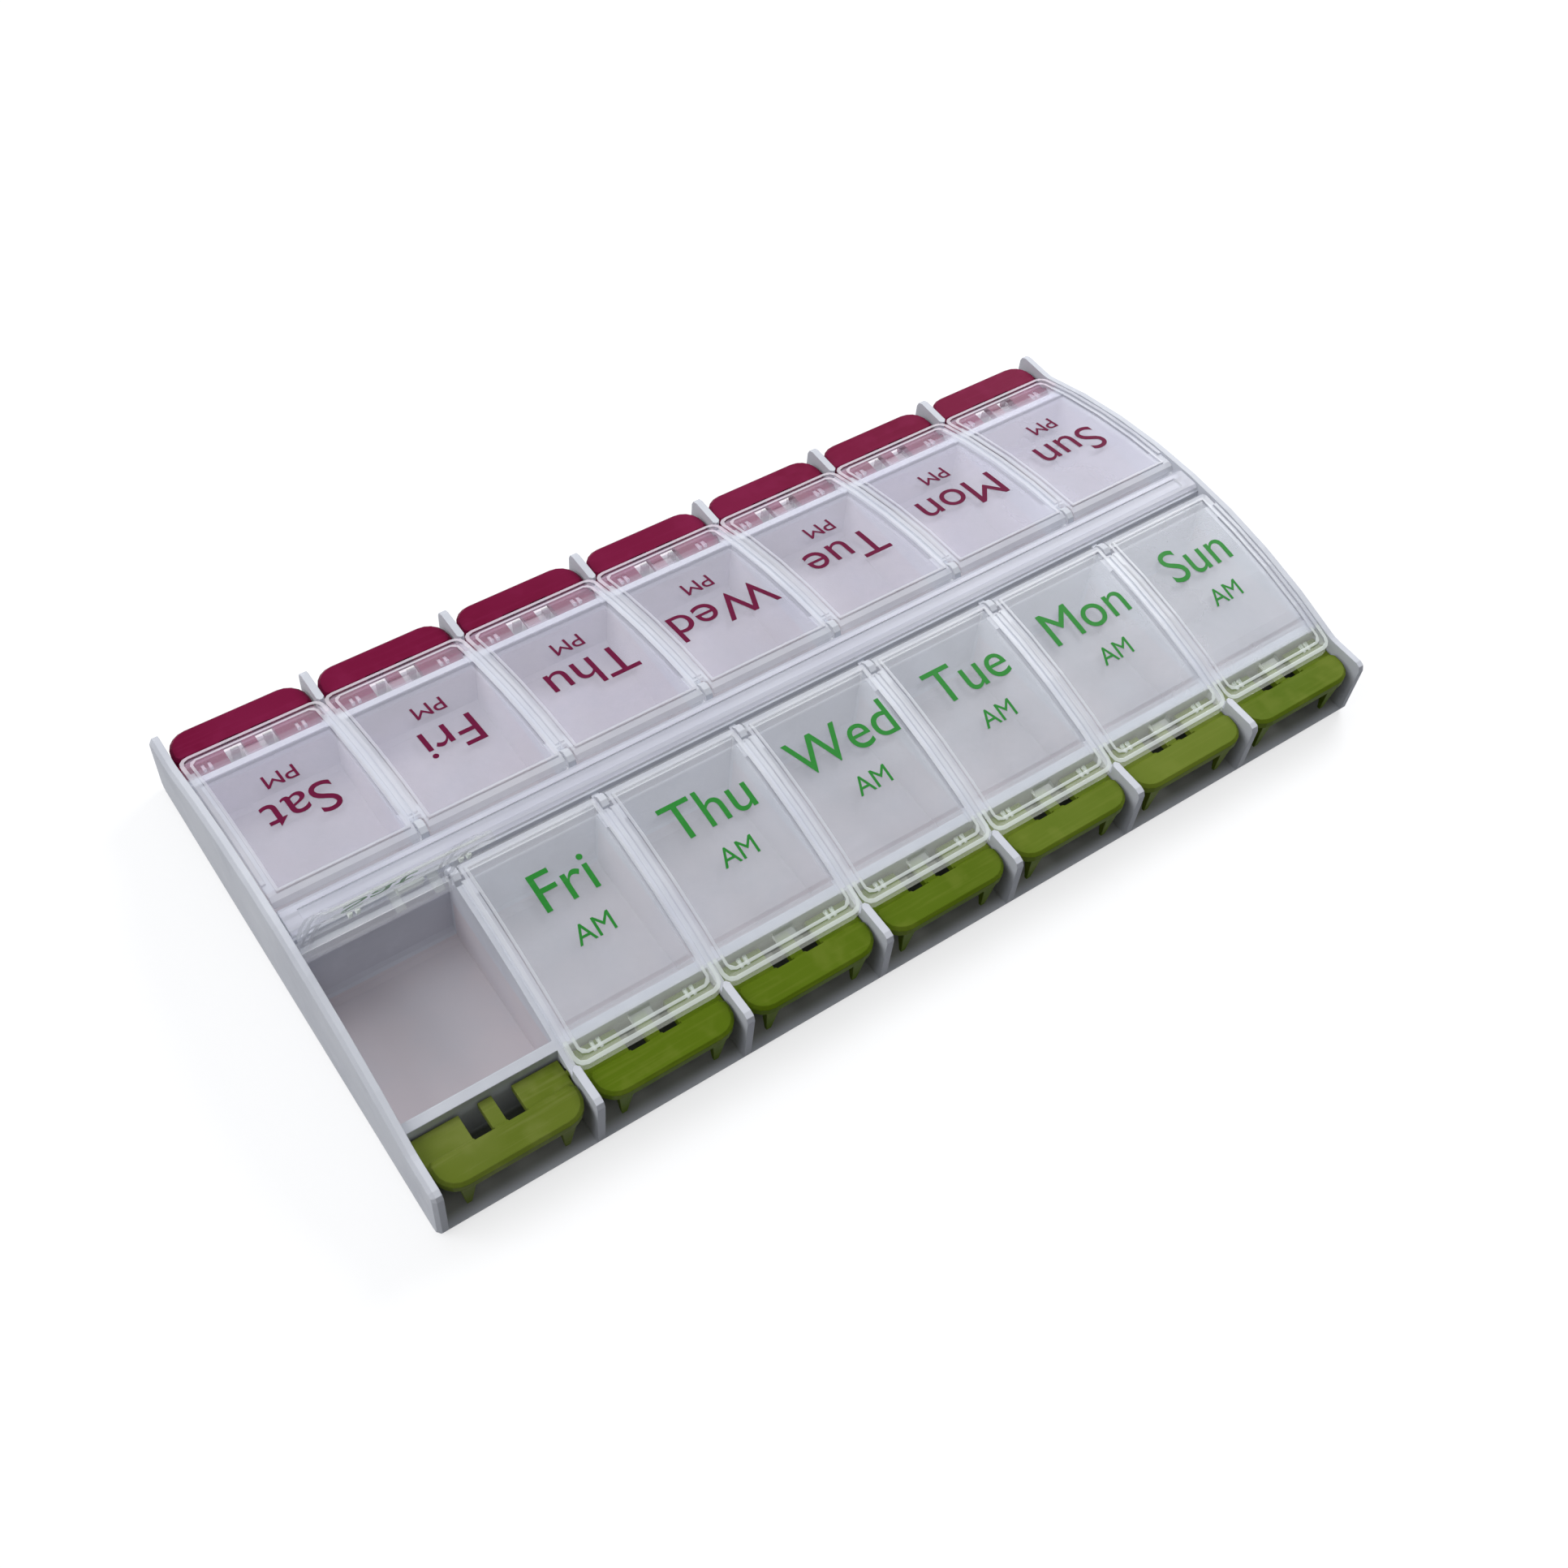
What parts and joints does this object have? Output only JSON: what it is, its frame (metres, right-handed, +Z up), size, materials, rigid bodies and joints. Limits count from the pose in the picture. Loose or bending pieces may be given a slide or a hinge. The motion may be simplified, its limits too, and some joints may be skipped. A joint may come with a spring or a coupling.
{
  "type": "weekly pill organizer",
  "caption": "Arched tray of daily morning and evening compartments under clear lids hinged along the centre, each with its own push button at the long edge.",
  "frame": {"origin": "centre of the underside of the tray, on the surface that it stands on", "axes": "+Z up, +X along the length from the Saturday end to the Sunday end, -Y towards the morning row and +Y towards the evening row"},
  "size_m": [0.2124, 0.109, 0.0576],
  "materials": {
    "tray_white": "satin",
    "clear_lid": "frosted translucent",
    "button_green": "satin",
    "button_crimson": "satin"
  },
  "bodies": {
    "tray": {"tray": "tray_white", "hinge_strip": "clear_lid"},
    "lid_sat_am": {"lid_sat_am": "clear_lid"},
    "button_sat_am": {"button_sat_am": "button_green"},
    "lid_fri_am": {"lid_fri_am": "clear_lid"},
    "button_fri_am": {"button_fri_am": "button_green"},
    "lid_thu_am": {"lid_thu_am": "clear_lid"},
    "button_thu_am": {"button_thu_am": "button_green"},
    "lid_wed_am": {"lid_wed_am": "clear_lid"},
    "button_wed_am": {"button_wed_am": "button_green"},
    "lid_tue_am": {"lid_tue_am": "clear_lid"},
    "button_tue_am": {"button_tue_am": "button_green"},
    "lid_mon_am": {"lid_mon_am": "clear_lid"},
    "button_mon_am": {"button_mon_am": "button_green"},
    "lid_sun_am": {"lid_sun_am": "clear_lid"},
    "button_sun_am": {"button_sun_am": "button_green"},
    "lid_sat_pm": {"lid_sat_pm": "clear_lid"},
    "button_sat_pm": {"button_sat_pm": "button_crimson"},
    "lid_fri_pm": {"lid_fri_pm": "clear_lid"},
    "button_fri_pm": {"button_fri_pm": "button_crimson"},
    "lid_thu_pm": {"lid_thu_pm": "clear_lid"},
    "button_thu_pm": {"button_thu_pm": "button_crimson"},
    "lid_wed_pm": {"lid_wed_pm": "clear_lid"},
    "button_wed_pm": {"button_wed_pm": "button_crimson"},
    "lid_tue_pm": {"lid_tue_pm": "clear_lid"},
    "button_tue_pm": {"button_tue_pm": "button_crimson"},
    "lid_mon_pm": {"lid_mon_pm": "clear_lid"},
    "button_mon_pm": {"button_mon_pm": "button_crimson"},
    "lid_sun_pm": {"lid_sun_pm": "clear_lid"},
    "button_sun_pm": {"button_sun_pm": "button_crimson"}
  },
  "joints": [
    {"name": "lid_sat_am_hinge", "type": "hinge", "parent": "tray", "child": "lid_sat_am", "pos_m": [-0.09, -0.006, 0.02057], "axis": [-1, 0, 0], "range_deg": [-72, 28]},
    {"name": "button_sat_am_pivot", "type": "hinge", "parent": "tray", "child": "button_sat_am", "pos_m": [-0.09, -0.045, 0.01151], "axis": [1, 0, 0], "range_deg": [0, 12], "stiffness_Nm_per_rad": 0.01, "springref_deg": -5.73},
    {"name": "lid_fri_am_hinge", "type": "hinge", "parent": "tray", "child": "lid_fri_am", "pos_m": [-0.06, -0.006, 0.02057], "axis": [-1, 0, 0], "range_deg": [0, 100]},
    {"name": "button_fri_am_pivot", "type": "hinge", "parent": "tray", "child": "button_fri_am", "pos_m": [-0.06, -0.045, 0.01151], "axis": [1, 0, 0], "range_deg": [0, 12], "stiffness_Nm_per_rad": 0.01, "springref_deg": -5.73},
    {"name": "lid_thu_am_hinge", "type": "hinge", "parent": "tray", "child": "lid_thu_am", "pos_m": [-0.03, -0.006, 0.02057], "axis": [-1, 0, 0], "range_deg": [0, 100]},
    {"name": "button_thu_am_pivot", "type": "hinge", "parent": "tray", "child": "button_thu_am", "pos_m": [-0.03, -0.045, 0.01151], "axis": [1, 0, 0], "range_deg": [0, 12], "stiffness_Nm_per_rad": 0.01, "springref_deg": -5.73},
    {"name": "lid_wed_am_hinge", "type": "hinge", "parent": "tray", "child": "lid_wed_am", "pos_m": [0, -0.006, 0.02057], "axis": [-1, 0, 0], "range_deg": [0, 100]},
    {"name": "button_wed_am_pivot", "type": "hinge", "parent": "tray", "child": "button_wed_am", "pos_m": [0, -0.045, 0.01151], "axis": [1, 0, 0], "range_deg": [0, 12], "stiffness_Nm_per_rad": 0.01, "springref_deg": -5.73},
    {"name": "lid_tue_am_hinge", "type": "hinge", "parent": "tray", "child": "lid_tue_am", "pos_m": [0.03, -0.006, 0.02057], "axis": [-1, 0, 0], "range_deg": [0, 100]},
    {"name": "button_tue_am_pivot", "type": "hinge", "parent": "tray", "child": "button_tue_am", "pos_m": [0.03, -0.045, 0.01151], "axis": [1, 0, 0], "range_deg": [0, 12], "stiffness_Nm_per_rad": 0.01, "springref_deg": -5.73},
    {"name": "lid_mon_am_hinge", "type": "hinge", "parent": "tray", "child": "lid_mon_am", "pos_m": [0.06, -0.006, 0.02057], "axis": [-1, 0, 0], "range_deg": [0, 100]},
    {"name": "button_mon_am_pivot", "type": "hinge", "parent": "tray", "child": "button_mon_am", "pos_m": [0.06, -0.045, 0.01151], "axis": [1, 0, 0], "range_deg": [0, 12], "stiffness_Nm_per_rad": 0.01, "springref_deg": -5.73},
    {"name": "lid_sun_am_hinge", "type": "hinge", "parent": "tray", "child": "lid_sun_am", "pos_m": [0.09, -0.006, 0.02057], "axis": [-1, 0, 0], "range_deg": [0, 100]},
    {"name": "button_sun_am_pivot", "type": "hinge", "parent": "tray", "child": "button_sun_am", "pos_m": [0.09, -0.045, 0.01151], "axis": [1, 0, 0], "range_deg": [0, 12], "stiffness_Nm_per_rad": 0.01, "springref_deg": -5.73},
    {"name": "lid_sat_pm_hinge", "type": "hinge", "parent": "tray", "child": "lid_sat_pm", "pos_m": [-0.09, 0.006, 0.02057], "axis": [1, 0, 0], "range_deg": [0, 100]},
    {"name": "button_sat_pm_pivot", "type": "hinge", "parent": "tray", "child": "button_sat_pm", "pos_m": [-0.09, 0.045, 0.01151], "axis": [-1, 0, 0], "range_deg": [0, 12], "stiffness_Nm_per_rad": 0.01, "springref_deg": -5.73},
    {"name": "lid_fri_pm_hinge", "type": "hinge", "parent": "tray", "child": "lid_fri_pm", "pos_m": [-0.06, 0.006, 0.02057], "axis": [1, 0, 0], "range_deg": [0, 100]},
    {"name": "button_fri_pm_pivot", "type": "hinge", "parent": "tray", "child": "button_fri_pm", "pos_m": [-0.06, 0.045, 0.01151], "axis": [-1, 0, 0], "range_deg": [0, 12], "stiffness_Nm_per_rad": 0.01, "springref_deg": -5.73},
    {"name": "lid_thu_pm_hinge", "type": "hinge", "parent": "tray", "child": "lid_thu_pm", "pos_m": [-0.03, 0.006, 0.02057], "axis": [1, 0, 0], "range_deg": [0, 100]},
    {"name": "button_thu_pm_pivot", "type": "hinge", "parent": "tray", "child": "button_thu_pm", "pos_m": [-0.03, 0.045, 0.01151], "axis": [-1, 0, 0], "range_deg": [0, 12], "stiffness_Nm_per_rad": 0.01, "springref_deg": -5.73},
    {"name": "lid_wed_pm_hinge", "type": "hinge", "parent": "tray", "child": "lid_wed_pm", "pos_m": [0, 0.006, 0.02057], "axis": [1, 0, 0], "range_deg": [0, 100]},
    {"name": "button_wed_pm_pivot", "type": "hinge", "parent": "tray", "child": "button_wed_pm", "pos_m": [0, 0.045, 0.01151], "axis": [-1, 0, 0], "range_deg": [0, 12], "stiffness_Nm_per_rad": 0.01, "springref_deg": -5.73},
    {"name": "lid_tue_pm_hinge", "type": "hinge", "parent": "tray", "child": "lid_tue_pm", "pos_m": [0.03, 0.006, 0.02057], "axis": [1, 0, 0], "range_deg": [0, 100]},
    {"name": "button_tue_pm_pivot", "type": "hinge", "parent": "tray", "child": "button_tue_pm", "pos_m": [0.03, 0.045, 0.01151], "axis": [-1, 0, 0], "range_deg": [0, 12], "stiffness_Nm_per_rad": 0.01, "springref_deg": -5.73},
    {"name": "lid_mon_pm_hinge", "type": "hinge", "parent": "tray", "child": "lid_mon_pm", "pos_m": [0.06, 0.006, 0.02057], "axis": [1, 0, 0], "range_deg": [0, 100]},
    {"name": "button_mon_pm_pivot", "type": "hinge", "parent": "tray", "child": "button_mon_pm", "pos_m": [0.06, 0.045, 0.01151], "axis": [-1, 0, 0], "range_deg": [0, 12], "stiffness_Nm_per_rad": 0.01, "springref_deg": -5.73},
    {"name": "lid_sun_pm_hinge", "type": "hinge", "parent": "tray", "child": "lid_sun_pm", "pos_m": [0.09, 0.006, 0.02057], "axis": [1, 0, 0], "range_deg": [0, 100]},
    {"name": "button_sun_pm_pivot", "type": "hinge", "parent": "tray", "child": "button_sun_pm", "pos_m": [0.09, 0.045, 0.01151], "axis": [-1, 0, 0], "range_deg": [0, 12], "stiffness_Nm_per_rad": 0.01, "springref_deg": -5.73}
  ]
}
